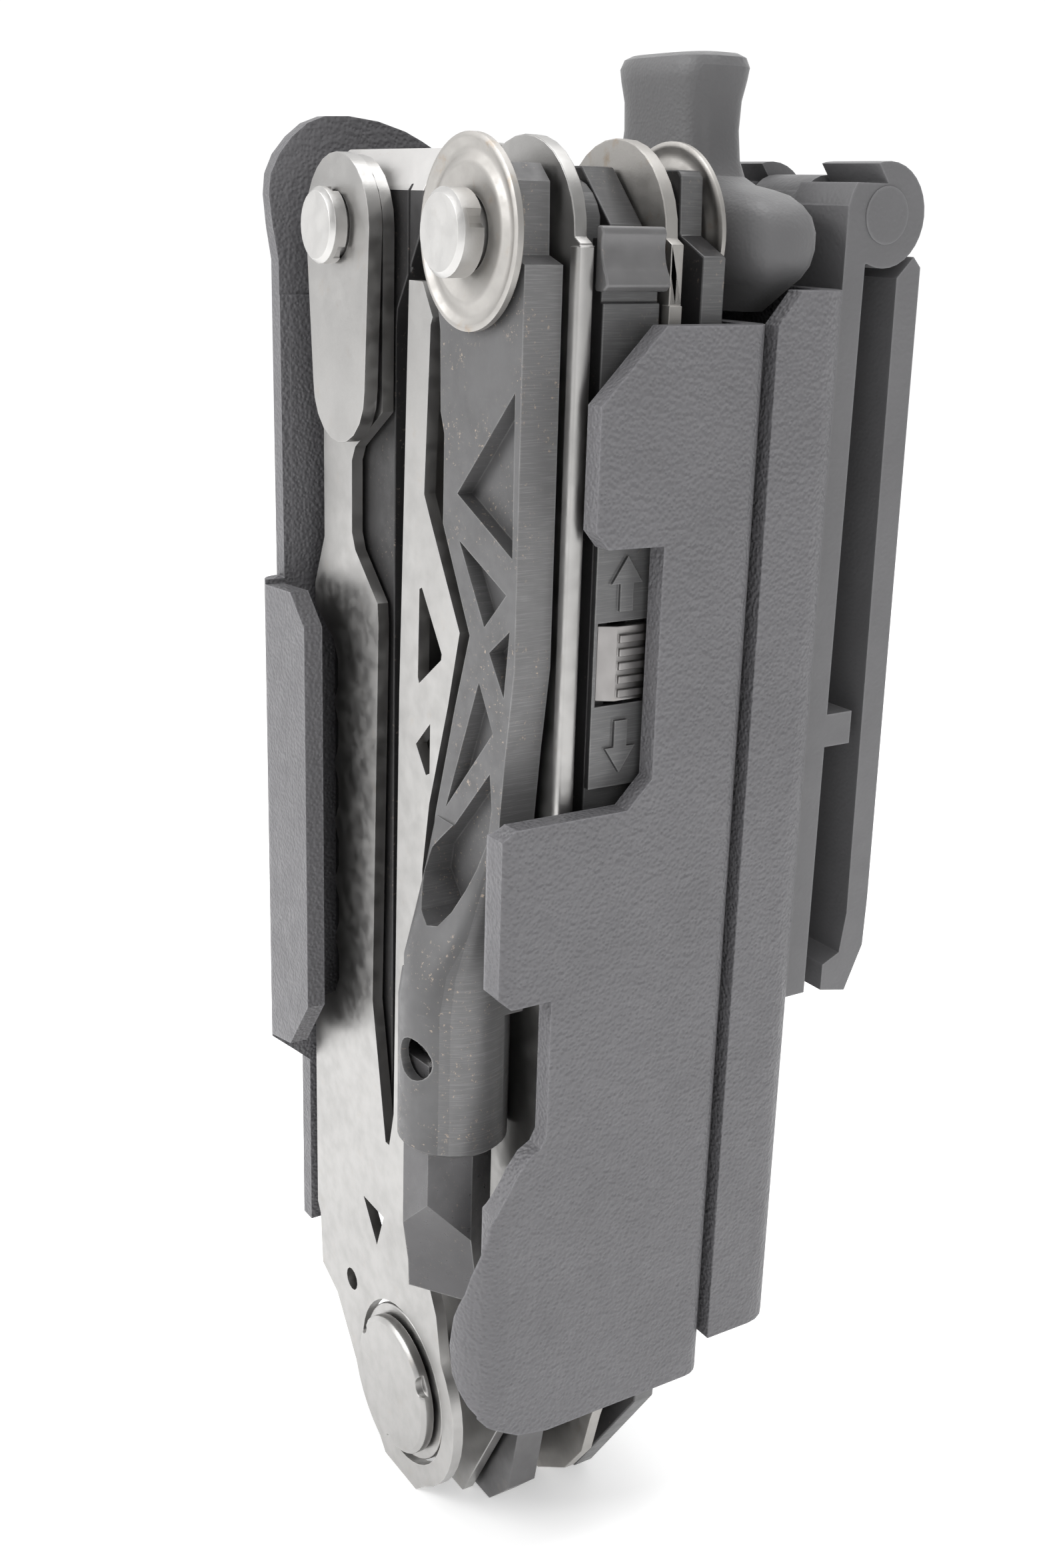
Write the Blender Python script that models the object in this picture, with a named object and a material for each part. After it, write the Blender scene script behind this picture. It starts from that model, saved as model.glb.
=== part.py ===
"""A folding multi tool standing in its belt sheath.

Lengths are in millimetres and become metres in `emit`. X runs across the two handles, Y runs from the
front of the tool to the belt clip, Z is up. The tool stands on its lower end, with the two tool pins on top.
"""
import math

import bmesh
import bpy
from mathutils import Matrix, Vector

MM = 0.001

# Driving dimensions.
TOOL_LENGTH = 119.4
PIN_X = 9.85
BOSS_R = 6.8
PIN_Z = TOOL_LENGTH - BOSS_R
PIVOT_Z = 10.0
TOOL_HALF_WIDTH = 17.7
GAP = 0.3
DEPTH_SHIFT = -5.65  # moves the middle of the whole depth onto Y = 0

# Depth of each layer of the tool, front face first.
HEAD_Y = (-12.8, -10.9)
STRAP_Y = (-11.1, -9.9)
WASHER_Y = (-10.6, -9.9)
FRONT_FRAME_Y = (-9.6, -8.6)
DRIVER_Y = (-9.6, -6.45)
FRONT_BLADE_Y = (-8.3, -6.2)
RIGHT_FRONT_Y = (-5.9, -4.8)
INNER_Y = (-4.4, 1.6)
RIGHT_REAR_Y = (1.95, 3.05)
LEFT_REAR_Y = (3.35, 4.25)
REAR_TOOL_Y = (4.55, 6.65)
REAR_WASHER_Y = (6.95, 7.5)

# Sheath.
SHEATH_HALF_WIDTH = 20.4
SHEET = 1.7
SHEATH_BOTTOM = 17.3
BACK_WALL_Y = (8.0, 9.5)
POCKET_Y = (9.8, 17.4)
POCKET_BOTTOM = 20.3
POCKET_TOP = 109.2

# Belt clip.
CLIP_HALF_WIDTH = 18.0
CLIP_PIN = (21.7, 114.6)
CLIP_BARREL_R = 3.9

SATIN = (0.62, 0.60, 0.58), 0.34, 1.0
BRIGHT = (0.66, 0.64, 0.62), 0.28, 1.0
BLACK_OXIDE = (0.10, 0.10, 0.105), 0.45, 0.8
GREY_STEEL = (0.25, 0.25, 0.26), 0.4, 0.9
SHEATH = (0.075, 0.075, 0.08), 0.6, 0.0
CLIP_PLASTIC = (0.06, 0.06, 0.065), 0.5, 0.0
RUBBER = (0.045, 0.045, 0.048), 0.7, 0.0


def clear_scene():
    for thing in list(bpy.data.objects):
        bpy.data.objects.remove(thing, do_unlink=True)


def material_for(name, finish):
    colour, roughness, metallic = finish
    material = bpy.data.materials.new(name)
    material.use_nodes = True
    shader = material.node_tree.nodes["Principled BSDF"]
    shader.inputs["Base Color"].default_value = (*colour, 1.0)
    shader.inputs["Roughness"].default_value = roughness
    shader.inputs["Metallic"].default_value = metallic
    return material


def to_mesh(bm, name, origin):
    """The mesh of a bmesh in millimetres, moved so that origin is its zero, in metres."""
    bmesh.ops.recalc_face_normals(bm, faces=bm.faces)
    bmesh.ops.transform(bm, matrix=Matrix.Scale(MM, 4) @ Matrix.Translation(-Vector(origin)), verts=bm.verts)
    mesh = bpy.data.meshes.new(name)
    bm.to_mesh(mesh)
    bm.free()
    return mesh


def place(name, mesh, origin):
    thing = bpy.data.objects.new(name, mesh)
    x, y, z = origin
    thing.location = (x * MM, (y + DEPTH_SHIFT) * MM, z * MM)
    bpy.context.collection.objects.link(thing)
    return thing


def emit(name, bm, finish, origin=(0, 0, 0), smooth=False):
    mesh = to_mesh(bm, name, origin)
    if smooth:
        mesh.shade_smooth()
        mesh.set_sharp_from_angle(angle=math.radians(35))
    thing = place(name, mesh, origin)
    thing.data.materials.append(material_for(name, finish))
    return thing


def boolean(thing, bm, operation):
    """Cuts or joins a second shape, which stays in the file as a hidden wire."""
    label = f"{thing.name}_{operation.lower()}_{len(thing.modifiers)}"
    cutter = place(label, to_mesh(bm, label, (0, 0, 0)), (0, 0, 0))
    cutter.hide_render = True
    cutter.display_type = "WIRE"
    modifier = thing.modifiers.new(label, "BOOLEAN")
    modifier.operation = operation
    modifier.object = cutter
    modifier.solver = "EXACT"


def cut(thing, *shapes):
    for shape in shapes:
        boolean(thing, shape, "DIFFERENCE")


def fuse(thing, *shapes):
    for shape in shapes:
        boolean(thing, shape, "UNION")


def arc(centre, radius, start, end, steps):
    """Points on a circle from one angle to another, in degrees."""
    across, up = centre
    angles = [math.radians(start + (end - start) * i / steps) for i in range(steps + 1)]
    return [(across + radius * math.cos(a), up + radius * math.sin(a)) for a in angles]


def prism(points, axis, low, high):
    """A closed prism: points lie across the axis, in X, Y, Z order."""
    place_at = {
        "X": lambda p, d: (d, p[0], p[1]),
        "Y": lambda p, d: (p[0], d, p[1]),
        "Z": lambda p, d: (p[0], p[1], d),
    }[axis]
    bm = bmesh.new()
    face = bm.faces.new([bm.verts.new(place_at(p, low)) for p in points])
    out = bmesh.ops.extrude_face_region(bm, geom=[face])
    moved = [v for v in out["geom"] if isinstance(v, bmesh.types.BMVert)]
    step = Vector(place_at((0, 0), high - low))
    bmesh.ops.translate(bm, vec=step, verts=moved)
    return bm


def block(x, y, z):
    return prism([(x[0], z[0]), (x[1], z[0]), (x[1], z[1]), (x[0], z[1])], "Y", *y)


def disc(centre, radius, low, high, axis="Y", sides=32):
    return prism(arc(centre, radius, 0, 360 - 360 / sides, sides - 1), axis, low, high)


def turned(centre, profile, axis="Y", sides=32):
    """A solid of revolution along an axis: profile lists (distance along the axis, radius)."""
    bm = bmesh.new()
    rings = []
    for along, radius in profile:
        ring = []
        for across, up in arc(centre, radius, 0, 360 - 360 / sides, sides - 1):
            point = {"Y": (across, along, up), "X": (along, across, up), "Z": (across, up, along)}[axis]
            ring.append(bm.verts.new(point))
        rings.append(ring)
    for first, second in zip(rings, rings[1:]):
        for i in range(sides):
            j = (i + 1) % sides
            bm.faces.new((first[i], first[j], second[j], second[i]))
    bm.faces.new(rings[0])
    bm.faces.new(rings[-1])
    return bm


def tube(centre, inner, outer, low, high, axis="Y", sides=32):
    """A washer or sleeve with a round hole."""
    bm = bmesh.new()
    rings = []
    for along, radius in ((low, inner), (low, outer), (high, outer), (high, inner)):
        ring = []
        for across, up in arc(centre, radius, 0, 360 - 360 / sides, sides - 1):
            point = {"Y": (across, along, up), "X": (along, across, up), "Z": (across, up, along)}[axis]
            ring.append(bm.verts.new(point))
        rings.append(ring)
    for k in range(4):
        first, second = rings[k], rings[(k + 1) % 4]
        for i in range(sides):
            j = (i + 1) % sides
            bm.faces.new((first[i], first[j], second[j], second[i]))
    return bm


def loft(levels, sides=32):
    """Rounded outlines joined up Z: each level is (z, x, y, half width, half depth, power), 1 being round."""
    bm = bmesh.new()
    rings = []
    for z, x, y, half_x, half_y, power in levels:
        ring = []
        for i in range(sides):
            a = 2 * math.pi * i / sides
            c, s = math.cos(a), math.sin(a)
            across = x + half_x * math.copysign(abs(c) ** power, c)
            deep = y + half_y * math.copysign(abs(s) ** power, s)
            ring.append(bm.verts.new((across, deep, z)))
        rings.append(ring)
    for first, second in zip(rings, rings[1:]):
        for i in range(sides):
            j = (i + 1) % sides
            bm.faces.new((first[i], first[j], second[j], second[i]))
    bm.faces.new(rings[0])
    bm.faces.new(rings[-1])
    return bm


def mirrored(points):
    return [(-x, z) for x, z in reversed(points)]


# Outlines that both handles share, drawn for the right handle.

FRONT_FOOT = [(17.4, 22.3), (5.5, 0.2), (5.3, 0.0)]
REAR_FOOT = [(17.4, 20.0), (15.4, 14.0), (14.3, 10.8), (13.2, 6.6), (10.6, 3.0), (6.9, 0.5), (6.2, 0.0)]


def handle_outline(foot):
    top = arc((PIN_X, PIN_Z), BOSS_R, 180, 0, 16)
    ring = arc((0, PIVOT_Z), 9.2, 238, 130, 8)
    return top + [(TOOL_HALF_WIDTH - 0.3, 112.2)] + foot + [(-3.6, 0.0)] + ring + [(0.6, 24.0), (0.6, 98.0), (3.05, 106.0)]


PIVOT_HOLE_R = 3.3
TOOL_PIN_R = 2.4
TOOL_HOLE_R = TOOL_PIN_R + GAP


def drill(thing, x, y, pivot=True):
    """The pin hole at the top and the pivot hole at the bottom."""
    cut(thing, disc((x, PIN_Z), TOOL_HOLE_R, y[0] - 1, y[1] + 1, sides=24))
    if pivot:
        cut(thing, disc((0, PIVOT_Z), PIVOT_HOLE_R, y[0] - 1, y[1] + 1, sides=24))


def main_pivot():
    origin = (0, 0, PIVOT_Z)
    head = [(-10.8, 6.0), (-10.5, 6.4), (-9.7, 6.4), (-9.7, 3.0), (6.9, 3.0)]
    bolt = emit("pivot_bolt", turned((0, PIVOT_Z), head, sides=40), SATIN, origin, smooth=True)
    for angle in (60, 180, 300):
        a = math.radians(angle - 30)
        cut(bolt, disc((6.6 * math.cos(a), PIVOT_Z + 6.6 * math.sin(a)), 1.0, -11.5, -10.1, sides=12))
    emit("pivot_washer", tube((0, PIVOT_Z), PIVOT_HOLE_R, 7.3, -9.4, -8.6, sides=40), SATIN, origin, smooth=True)
    emit("pivot_nut", tube((0, PIVOT_Z), PIVOT_HOLE_R, 4.1, 4.6, 6.4, sides=28), BLACK_OXIDE, origin)


def jaw(side):
    """One jaw: half of the lapped boss at the pivot, a heel outside it, and a needle nose that points up."""
    name = "jaw_right" if side > 0 else "jaw_left"
    boss_y = (INNER_Y[0], -1.55) if side > 0 else (-1.25, INNER_Y[1])
    heel = [(-4.5, 0.2), (7.7, 0.2), (10.9, 3.5), (12.4, 11.4), (12.4, 15.5), (4.5, 19.5), (0.25, 19.5), (0.25, 17.4)]
    lower = heel + arc((0, PIVOT_Z), 7.3, 88, 232, 12)
    nose = [(0.25, 19.0), (4.45, 19.0), (4.45, 34.0), (3.9, 50.0), (2.4, 76.5), (1.9, 78.0), (0.25, 78.0)]
    turn = (lambda points: points) if side > 0 else mirrored
    thing = emit(name, prism(turn(lower), "Y", *boss_y), GREY_STEEL, (0, 0, PIVOT_Z))
    fuse(thing, prism(turn(nose), "Y", *INNER_Y))
    cut(thing, disc((0, PIVOT_Z), PIVOT_HOLE_R, -6, 3, sides=24))
    x = sorted((side * 0.1, side * 2.5))
    cut(thing, block(x, (-3.6, 0.8), (23.7, 31.3)))
    x = sorted((side * 0.25, side * 2.2))
    emit(f"cutter_{name[4:]}", block(x, (-3.3, 0.5), (24.0, 31.0)), BRIGHT, (0, 0, PIVOT_Z))


def front_frame():
    """The light front plate of the left handle: a waisted arm to the pin and a wide centre arm beside it."""
    left_arm_top = arc((-PIN_X, PIN_Z), 5.4, 180, 0, 12)
    inside = [
        (-4.45, 98.5), (-9.2, 95.2), (-9.8, 94.0), (-9.8, 88.0), (-9.2, 86.6), (-5.2, 82.8), (-5.0, 81.0),
        (-5.9, 46.5), (-3.3, 33.5), (-2.6, 33.5), (-1.8, 37.0), (-1.3, 76.0), (-0.2, 108.9),
    ]
    centre_arm = [
        (1.9, 108.9), (3.5, 106.4), (3.2, 105.8), (2.5, 93.0), (3.4, 91.4), (8.3, 83.2), (6.7, 77.0),
        (3.9, 68.0), (2.9, 62.0), (2.6, 50.0), (2.6, 33.0), (4.2, 24.6), (6.3, 20.8),
    ]
    ring = arc((0, PIVOT_Z), 9.7, 42, -60, 11) + [(3.0, 0.0), (-3.0, 0.0)] + arc((0, PIVOT_Z), 9.7, -115, -160, 5)
    scallops = []
    pitch = 5.6
    for i in range(6):
        base = 44.4 + pitch * i
        scallops += [(-13.3, base), (-12.5, base + pitch * 0.3), (-12.5, base + pitch * 0.7)]
    left_side = [(-13.2, 12.0), (-16.4, 13.6), (-16.8, 19.0), (-17.4, 20.0), (-17.5, 41.2), (-16.4, 42.6)]
    upper_left = [(-13.3, 78.0), (-16.9, 80.4), (-16.9, 82.4), (-15.0, 86.8), (-15.0, 96.0), (-15.25, 99.0)]
    outline = left_arm_top + inside + centre_arm + ring + left_side + scallops + upper_left
    plate = emit("front_frame", prism(outline, "Y", *FRONT_FRAME_Y), SATIN, (0, 0, PIVOT_Z))
    holes = (
        [(2.3, 85.6), (5.6, 80.9), (5.5, 80.4), (2.0, 77.7), (1.8, 78.2), (1.9, 85.4)],
        [(3.9, 74.8), (1.6, 72.5), (3.3, 70.3), (3.9, 70.6)],
        [(-7.6, 25.7), (-3.6, 25.5), (-4.9, 21.9)],
    )
    for points in holes:
        cut(plate, prism(points, "Y", -10.5, -7.5))
    cut(plate, disc((-PIN_X, PIN_Z), TOOL_HOLE_R, -10.5, -7.5, sides=24))
    cut(plate, disc((0, PIVOT_Z), 7.7, -10.5, -7.5, sides=40))
    cut(plate, disc((-10.0, 15.3), 1.1, -10.5, -7.5, sides=12))


def left_handle():
    front_frame()
    strap = arc((-9.5, PIN_Z), 5.55, 180, 0, 14) + arc((-9.3, 100.2), 4.6, 0, -180, 10)
    piece = emit("pin_strap", prism(strap, "Y", *STRAP_Y), SATIN, (0, 0, PIVOT_Z))
    cut(piece, disc((-PIN_X, PIN_Z), TOOL_HOLE_R, -12, -9, sides=24))
    rear = emit("left_rear_plate", prism(mirrored(handle_outline(REAR_FOOT)), "Y", *LEFT_REAR_Y), SATIN, (0, 0, PIVOT_Z))
    drill(rear, -PIN_X, LEFT_REAR_Y)
    cut(rear, disc((-10.0, 15.3), 1.1, 3, 5, sides=12))
    head = [(HEAD_Y[0], 2.6), (HEAD_Y[0] + 0.35, 2.95), (-11.4, 2.95), (-11.4, TOOL_PIN_R), (7.3, TOOL_PIN_R)]
    pin = emit("left_pin", turned((-PIN_X, PIN_Z), head, sides=28), SATIN, (0, 0, PIVOT_Z), smooth=True)
    for angle in (75, 195, 315):
        a = math.radians(angle)
        cut(pin, disc((-PIN_X + 3.3 * math.cos(a), PIN_Z + 3.3 * math.sin(a)), 0.8, -12.0, -11.0, sides=10))
    washer = tube((-PIN_X, PIN_Z), TOOL_HOLE_R, 5.4, 6.85, 7.3)
    emit("left_rear_washer", washer, SATIN, (0, 0, PIVOT_Z), smooth=True)
    inner_tools(-1)


def inner_tool(name, side, outline, y, finish):
    """A tool inside a handle: a round tang on the pin and a shank that hangs down from it."""
    turn = (lambda points: points) if side > 0 else mirrored
    thing = emit(name, prism(turn(outline), "Y", *y), finish, (side * PIN_X, 0, PIN_Z))
    cut(thing, disc((side * PIN_X, PIN_Z), TOOL_HOLE_R, y[0] - 1, y[1] + 1, sides=24))


def tang(radius=5.4):
    """The rounded top of a tool, from its left side to its flat right shoulder."""
    return arc((PIN_X, PIN_Z), radius, 190, 42, 12) + [(13.6, 115.4), (13.6, 109.4), (14.8, 107.6)]


def inner_tools(side):
    short = arc((PIN_X, PIN_Z), 4.0, 190, 20, 12) + [(13.6, 112.0), (13.6, 109.4), (14.8, 107.6)]
    square = [(5.2, 112.0), (5.4, 116.6), (6.2, 117.4), (10.3, 117.4), (14.3, 113.4), (14.3, 108.0)]
    pry = (short if side > 0 else tang()) + [(14.2, 104.0), (14.2, 60.0), (12.5, 52.0), (8.0, 50.0), (5.6, 54.0), (5.4, 104.0)]
    shank = [(13.8, 104.0), (12.6, 96.0), (12.6, 48.0), (11.4, 44.0), (8.4, 44.0), (7.2, 48.0)]
    shank += [(7.2, 98.0), (5.4, 104.0)]
    slim = (square if side > 0 else tang()) + shank
    awl = tang(5.2) + [(13.0, 103.0), (12.8, 70.0), (9.4, 46.0), (8.2, 70.0), (6.6, 103.0)]
    if side > 0:
        inner_tool("pry_tool", side, pry, (-4.4, -1.6), BLACK_OXIDE)
        inner_tool("flat_driver", side, slim, (-1.3, 1.6), BLACK_OXIDE)
    else:
        inner_tool("bottle_opener", side, pry, (-5.9, -3.2), SATIN)
        inner_tool("small_driver", side, slim, (-2.9, -0.4), SATIN)
        inner_tool("awl", side, awl, (-0.1, 3.0), BLACK_OXIDE)


def right_handle():
    front = emit("right_front_plate", prism(handle_outline(FRONT_FOOT), "Y", *RIGHT_FRONT_Y), SATIN, (0, 0, PIVOT_Z))
    edge = TOOL_HALF_WIDTH
    roll = [(-6.2, 0.5), (-6.0, 0.15), (-5.6, 0.0), (-5.2, 0.0), (-4.8, 0.15), (-4.6, 0.5), (-4.6, 1.1), (-6.2, 1.1)]
    flange = [(edge - depth, y) for y, depth in roll]
    fuse(front, prism(flange, "Z", 23.0, 112.0))
    drill(front, PIN_X, (-7, -3.5))
    rear = emit("right_rear_plate", prism(handle_outline(REAR_FOOT), "Y", *RIGHT_REAR_Y), SATIN, (0, 0, PIVOT_Z))
    fuse(rear, block((edge - 1.0, edge), (RIGHT_REAR_Y[0] - 0.15, RIGHT_REAR_Y[1] - 0.1), (22.0, 108.0)))
    drill(rear, PIN_X, RIGHT_REAR_Y)
    head = [(HEAD_Y[0], 2.7), (HEAD_Y[0] + 0.35, 3.1), (-10.9, 3.1), (-10.9, TOOL_PIN_R), (7.7, TOOL_PIN_R)]
    pin = emit("right_pin", turned((PIN_X, PIN_Z), head, sides=32), SATIN, (0, 0, PIVOT_Z), smooth=True)
    for angle in (20, 140, 260):
        a = math.radians(angle)
        cut(pin, disc((PIN_X + 3.45 * math.cos(a), PIN_Z + 3.45 * math.sin(a)), 0.8, -12.1, -10.5, sides=10))
    washer = tube((PIN_X, PIN_Z), TOOL_HOLE_R, BOSS_R, *WASHER_Y, sides=40)
    emit("front_washer", washer, SATIN, (0, 0, PIVOT_Z), smooth=True)
    washer = tube((PIN_X, PIN_Z), TOOL_HOLE_R, BOSS_R, *REAR_WASHER_Y, sides=40)
    emit("rear_washer", washer, SATIN, (0, 0, PIVOT_Z), smooth=True)
    washer = tube((PIN_X, PIN_Z), TOOL_HOLE_R, 5.2, 3.35, 4.25)
    emit("spacer_washer", washer, SATIN, (0, 0, PIVOT_Z), smooth=True)
    inner_tools(1)


LOCK_HINGE = (16.2, 43.5)


def lock():
    """The spring bar on the right side, its saddle at the top and the ridged slider."""
    origin = (LOCK_HINGE[0], 0, LOCK_HINGE[1])
    bar = emit("lock_bar", block((15.3, 17.0), (-3.5, 1.5), (41.5, 108.2)), BLACK_OXIDE, origin)
    cut(bar, block((14.0, 19.0), (-1.9, -0.3), (74.9, 89.3)))
    fuse(bar, block((15.3, 16.7), (-3.5, 1.5), (107.5, 112.6)))
    hollow = list(reversed(arc((20.9, 112.1), 3.2, 164, 218, 7)))
    curve = [(17.0, 109.0), (18.1, 109.0), (18.6, 109.4)] + hollow + [(17.6, 113.4), (17.0, 113.4)]
    emit("lock_saddle", prism(curve, "Y", -4.3, 1.25), GREY_STEEL, origin)
    slider = emit("lock_slider", block((17.3, 17.9), (-3.7, 1.5), (72.4, 91.2)), BLACK_OXIDE, origin)
    cut(slider, block((17.0, 19.0), (-3.4, 1.2), (78.9, 85.3)))
    for z, way in ((88.2, 1), (75.6, -1)):
        shaft = [(-1.7, z - 2.1 * way), (-0.5, z - 2.1 * way), (-0.5, z), (0.3, z)]
        head = [(-1.1, z + 2.1 * way), (-2.5, z), (-1.7, z)]
        fuse(slider, prism(shaft + head, "X", 17.8, 18.2))
    fuse(slider, block((15.6, 17.6), (-1.6, -0.6), (77.3, 78.8)), block((15.6, 17.6), (-1.6, -0.6), (85.4, 86.9)))
    face = [(17.15, -3.1), (17.4, -3.1), (18.1, -1.8), (18.1, 0.9), (17.15, 0.9)]
    button = emit("lock_button", prism(face, "Z", 79.2, 85.0), GREY_STEEL, origin)
    for i in range(5):
        z = 79.55 + i * 1.05
        fuse(button, block((18.0, 18.4), (-1.65, 0.75), (z, z + 0.6)))


SOCKET = (10.1, -10.55)
SOCKET_R = 4.55
SOCKET_Z = (41.2, 53.8)
BIT = (9.85, -10.8)
BIT_Z = (26.0, 48.9)
HEX_TURN = 4
BLADE_TURN = 34
HEX_R = 6.35 / math.sqrt(3)


def hexagon(radius):
    return arc(BIT, radius, HEX_TURN, HEX_TURN + 300, 5)


def driver():
    """The bit driver: a flat arm with triangular pockets that ends in a hexagon socket."""
    origin = (PIN_X, 0, PIN_Z)
    outline = [
        (3.7, 112.6), (4.3, 115.4), (6.2, 117.4), (12.9, 117.4), (14.2, 116.2), (14.4, 111.3), (16.2, 110.7),
        (16.3, 96.0), (16.3, 82.0),
        (15.4, 75.5), (14.8, 70.0), (14.3, 58.0), (14.0, 53.0), (5.9, 53.0), (4.2, 57.5), (3.8, 62.0),
        (5.0, 67.7), (7.8, 77.2), (9.8, 83.3), (5.5, 91.2), (5.5, 98.0), (4.9, 99.6), (4.7, 105.5), (3.9, 109.0),
    ]
    arm = emit("driver_arm", prism(outline, "Y", *DRIVER_Y), BLACK_OXIDE, origin)
    low = SOCKET_Z[0]
    x, y = SOCKET
    swell = [
        (low, x, y, SOCKET_R - 0.4, SOCKET_R - 0.4, 1.0), (low + 0.4, x, y, SOCKET_R, SOCKET_R, 1.0),
        (SOCKET_Z[1], x, y, SOCKET_R, SOCKET_R, 1.0), (57.0, 9.7, -10.1, 4.5, 3.95, 0.86), (60.0, 9.4, -9.4, 4.6, 3.1, 0.7),
        (63.5, 9.2, -8.65, 4.7, 2.3, 0.5), (67.5, 9.3, -8.1, 4.8, 1.64, 0.35),
    ]
    fuse(arm, loft(swell))
    pockets = (
        [(15.4, 102.0), (7.6, 93.8), (15.6, 90.2)],
        [(8.0, 90.3), (14.9, 87.4), (11.9, 84.4)],
        [(15.5, 84.8), (12.7, 82.6), (14.9, 79.6)],
        [(11.3, 80.0), (13.5, 76.5), (6.6, 68.6)],
        [
            (13.2, 73.2), (13.6, 70.4), (12.7, 65.4), (11.4, 61.6), (10.4, 60.2), (9.0, 59.8), (7.4, 60.5),
            (5.4, 62.8), (5.8, 65.0),
        ],
    )
    for points in pockets:
        cut(arm, prism(points, "Y", -16.0, DRIVER_Y[0] + 1.3))
    cut(arm, prism([(4.0, 58.6), (8.0, 56.2), (4.4, 54.6)], "Y", -16.0, -11.6))
    cut(arm, prism(hexagon(HEX_R + 0.3), "Z", 39.0, 50.6))
    cut(arm, disc((SOCKET[0] + 1.0, 49.5), 1.8, -16.0, SOCKET[1], sides=20))
    cut(arm, disc((PIN_X, PIN_Z), TOOL_HOLE_R, -11, -5, sides=24))
    emit("bit_magnet", disc(BIT, 2.4, 49.2, 50.3, axis="Z", sides=16), BRIGHT, origin)
    bit = emit("driver_bit", prism(hexagon(HEX_R), "Z", *BIT_Z), BLACK_OXIDE, (*BIT, BIT_Z[1]))
    ground = [(0.55, 25.0), (4.5, 25.0), (4.5, 38.0), (3.7, 36.3), (1.83, 32.8), (0.8, 28.6)]
    for side in (1, -1):
        turn = Matrix.Rotation(math.radians(BLADE_TURN), 4, "Z")
        wedge = prism([(side * y, z) for y, z in ground], "X", -5, 5)
        bmesh.ops.transform(wedge, matrix=Matrix.Translation((*BIT, 0)) @ turn, verts=wedge.verts)
        cut(bit, wedge)


def outer_tools():
    """The full-length tools on the outside of each handle, which swing out round the pins."""
    blade = [
        (4.7, 105.0), (4.6, 40.0), (5.6, 30.0), (8.4, 24.5), (12.0, 26.0), (14.6, 34.0), (15.8, 46.0),
        (15.8, 84.0), (15.2, 96.0), (16.0, 108.0),
    ]
    rounded = arc((PIN_X, PIN_Z), 6.3, 10, 200, 14)
    wide = [(16.6, 118.0), (16.1, 118.5), (0.8, 118.5), (0.4, 118.1), (0.4, 113.0), (4.5, 106.5)]
    front = emit("serrated_blade", prism(mirrored(wide + blade), "Y", *FRONT_BLADE_Y), BLACK_OXIDE, (-PIN_X, 0, PIN_Z))
    bevel = [(-8.6, 115.4), (-8.3, 115.4), (-7.1, 117.7), (-6.5, 118.6), (-6.5, 119.5), (-8.6, 119.5)]
    cut(front, prism(bevel, "X", -18.0, 1.0), block((-2.8, -2.5), (-9.0, -8.05), (95.0, 120.0)))
    cut(front, disc((-PIN_X, PIN_Z), TOOL_HOLE_R, -9, -5, sides=24))
    rear_outline = [
        (4.6, 104.0), (4.4, 12.0), (5.4, 0.6), (8.4, 0.6), (17.2, 13.6), (17.8, 22.0), (17.8, 111.4),
        (14.8, 112.8), (14.6, 116.8), (14.2, 117.3), (6.2, 117.3), (5.0, 115.6), (4.6, 110.0),
    ]
    rear = emit("knife_blade", prism(rear_outline, "Y", *REAR_TOOL_Y), BLACK_OXIDE, (PIN_X, 0, PIN_Z))
    cut(rear, disc((PIN_X, PIN_Z), TOOL_HOLE_R, 4, 8, sides=24))
    file_outline = [(5.2, 104.0), (5.2, 27.0), (6.0, 25.0), (14.6, 25.0), (15.4, 27.0), (15.4, 106.0)]
    rear = emit("file", prism(mirrored(rounded + file_outline), "Y", *REAR_TOOL_Y), GREY_STEEL, (-PIN_X, 0, PIN_Z))
    cut(rear, disc((-PIN_X, PIN_Z), TOOL_HOLE_R, 4, 8, sides=24))


def bend(corner, radius, start, end):
    """A rounded corner of a bent sheet: corner is the centre of the bend."""
    return arc(corner, radius, start, end, 5)


def sheet_section(path, thickness):
    """The closed outline of a sheet that follows a path across Z."""
    sides = ([], [])
    for i, (x, y) in enumerate(path):
        before, after = path[max(i - 1, 0)], path[min(i + 1, len(path) - 1)]
        along = Vector((after[0] - before[0], after[1] - before[1])).normalized()
        for side, way in zip(sides, (0.5, -0.5)):
            side.append((x - along.y * way * thickness, y + along.x * way * thickness))
    return sides[0] + list(reversed(sides[1]))


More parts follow.
